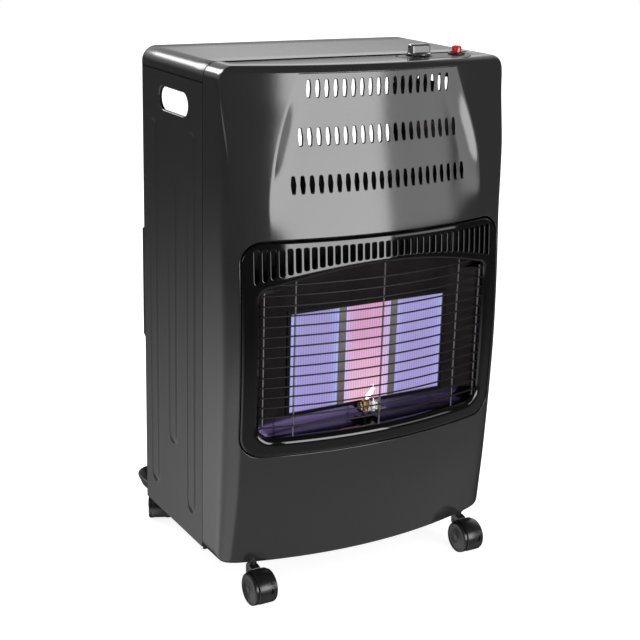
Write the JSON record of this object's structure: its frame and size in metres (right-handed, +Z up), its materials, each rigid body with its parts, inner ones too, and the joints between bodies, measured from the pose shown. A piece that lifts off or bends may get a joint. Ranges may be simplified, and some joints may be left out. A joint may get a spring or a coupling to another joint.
{
  "type": "portable gas cabinet heater",
  "caption": "Upright gas cabinet heater on casters, with a bowed front, slotted scoop, ceramic plaques behind a wire guard, a push-and-turn knob and a lift-off rear cover.",
  "frame": {"origin": "centre of the outer box at the floor, under the middle of the cabinet", "axes": "+Z up along the height, the front faces -Y, +X to the right as seen from the front"},
  "size_m": [0.4236, 0.36, 0.716],
  "materials": {
    "paint": "satin anthracite paint",
    "gloss_black": "gloss black enamel",
    "guard_steel": "dark steel wire",
    "inner_steel": "dark satin sheet",
    "plated": "plated sheet steel",
    "steel": "bright steel",
    "ceramic_plaque": "perforated ceramic, glowing in use",
    "ceramic_white": "white glazed ceramic",
    "brass": "turned brass",
    "copper": "copper pipe",
    "black_plastic": "moulded black plastic",
    "caster_plastic": "moulded black nylon",
    "tray_plastic": "textured black plastic",
    "red_plastic": "red plastic",
    "cable": "insulated lead"
  },
  "bodies": {
    "cabinet": {"side_panel_right": "paint", "side_panel_left": "paint", "top_cover": "paint", "front_fascia": "paint", "base_tray": "tray_plastic", "partition": "plated", "burner_surround": "gloss_black", "wire_guard": "guard_steel", "reflector": "inner_steel", "plenum": "plated", "plaque_clamp_frame": "inner_steel", "plaque_left": "ceramic_plaque", "injector_left": "brass", "burner_pipe_left": "copper", "plaque_centre": "ceramic_plaque", "injector_centre": "brass", "burner_pipe_centre": "copper", "plaque_right": "ceramic_plaque", "injector_right": "brass", "burner_pipe_right": "copper", "pilot_bracket": "steel", "pilot_burner": "brass", "spark_electrode": "ceramic_white", "thermocouple": "steel", "pilot_pipe": "copper", "ignition_lead": "cable", "thermocouple_lead": "copper", "gas_valve": "plated", "hose_nozzle": "brass", "control_plate": "black_plastic", "piezo_igniter": "black_plastic", "igniter_nut": "black_plastic"},
    "rear_cover": {"rear_cover": "paint"},
    "valve_push": {"valve_spring_cup": "steel"},
    "knob": {"valve_spindle": "steel", "control_knob": "black_plastic"},
    "button": {"piezo_button": "red_plastic"},
    "caster_front_left": {"caster_housing_front_left": "caster_plastic", "caster_stem_front_left": "steel", "caster_axle_front_left": "steel"},
    "caster_front_left_wheel_a": {"caster_wheel_a_front_left": "caster_plastic"},
    "caster_front_left_wheel_b": {"caster_wheel_b_front_left": "caster_plastic"},
    "caster_front_right": {"caster_housing_front_right": "caster_plastic", "caster_stem_front_right": "steel", "caster_axle_front_right": "steel"},
    "caster_front_right_wheel_a": {"caster_wheel_a_front_right": "caster_plastic"},
    "caster_front_right_wheel_b": {"caster_wheel_b_front_right": "caster_plastic"},
    "caster_rear_left": {"caster_housing_rear_left": "caster_plastic", "caster_stem_rear_left": "steel", "caster_axle_rear_left": "steel"},
    "caster_rear_left_wheel_a": {"caster_wheel_a_rear_left": "caster_plastic"},
    "caster_rear_left_wheel_b": {"caster_wheel_b_rear_left": "caster_plastic"},
    "caster_rear_right": {"caster_housing_rear_right": "caster_plastic", "caster_stem_rear_right": "steel", "caster_axle_rear_right": "steel"},
    "caster_rear_right_wheel_a": {"caster_wheel_a_rear_right": "caster_plastic"},
    "caster_rear_right_wheel_b": {"caster_wheel_b_rear_right": "caster_plastic"}
  },
  "joints": [
    {"name": "rear_cover_lift", "type": "slide", "parent": "cabinet", "child": "rear_cover", "axis": [0, 0, 1], "range_m": [0, 0.014]},
    {"name": "knob_push", "type": "slide", "parent": "cabinet", "child": "valve_push", "axis": [0, 0, -1], "range_m": [0, 0.0035], "stiffness_N_per_m": 500, "springref_m": -0.004},
    {"name": "knob_turn", "type": "hinge", "parent": "valve_push", "child": "knob", "pos_m": [0.0858, -0.098, 0.7], "axis": [0, 0, 1], "range_deg": [0, 225]},
    {"name": "button_push", "type": "slide", "parent": "cabinet", "child": "button", "axis": [0, 0, -1], "range_m": [0, 0.005], "stiffness_N_per_m": 400, "springref_m": -0.003},
    {"name": "caster_front_left_swivel", "type": "hinge", "parent": "cabinet", "child": "caster_front_left", "pos_m": [-0.167, -0.133, 0.06], "axis": [0, 0, 1], "continuous": true},
    {"name": "caster_front_left_wheel_a_spin", "type": "hinge", "parent": "caster_front_left", "child": "caster_front_left_wheel_a", "pos_m": [-0.167, -0.156, 0.022], "axis": [1, 0, 0], "continuous": true},
    {"name": "caster_front_left_wheel_b_spin", "type": "hinge", "parent": "caster_front_left", "child": "caster_front_left_wheel_b", "pos_m": [-0.167, -0.156, 0.022], "axis": [1, 0, 0], "continuous": true},
    {"name": "caster_front_right_swivel", "type": "hinge", "parent": "cabinet", "child": "caster_front_right", "pos_m": [0.167, -0.133, 0.06], "axis": [0, 0, 1], "continuous": true},
    {"name": "caster_front_right_wheel_a_spin", "type": "hinge", "parent": "caster_front_right", "child": "caster_front_right_wheel_a", "pos_m": [0.167, -0.156, 0.022], "axis": [1, 0, 0], "continuous": true},
    {"name": "caster_front_right_wheel_b_spin", "type": "hinge", "parent": "caster_front_right", "child": "caster_front_right_wheel_b", "pos_m": [0.167, -0.156, 0.022], "axis": [1, 0, 0], "continuous": true},
    {"name": "caster_rear_left_swivel", "type": "hinge", "parent": "cabinet", "child": "caster_rear_left", "pos_m": [-0.169, 0.162, 0.06], "axis": [0, 0, 1], "continuous": true},
    {"name": "caster_rear_left_wheel_a_spin", "type": "hinge", "parent": "caster_rear_left", "child": "caster_rear_left_wheel_a", "pos_m": [-0.17872, 0.14115, 0.022], "axis": [0.9063, -0.4226, 0], "continuous": true},
    {"name": "caster_rear_left_wheel_b_spin", "type": "hinge", "parent": "caster_rear_left", "child": "caster_rear_left_wheel_b", "pos_m": [-0.17872, 0.14115, 0.022], "axis": [0.9063, -0.4226, 0], "continuous": true},
    {"name": "caster_rear_right_swivel", "type": "hinge", "parent": "cabinet", "child": "caster_rear_right", "pos_m": [0.169, 0.162, 0.06], "axis": [0, 0, 1], "continuous": true},
    {"name": "caster_rear_right_wheel_a_spin", "type": "hinge", "parent": "caster_rear_right", "child": "caster_rear_right_wheel_a", "pos_m": [0.17611, 0.14013, 0.022], "axis": [0.9511, 0.309, 0], "continuous": true},
    {"name": "caster_rear_right_wheel_b_spin", "type": "hinge", "parent": "caster_rear_right", "child": "caster_rear_right_wheel_b", "pos_m": [0.17611, 0.14013, 0.022], "axis": [0.9511, 0.309, 0], "continuous": true}
  ]
}
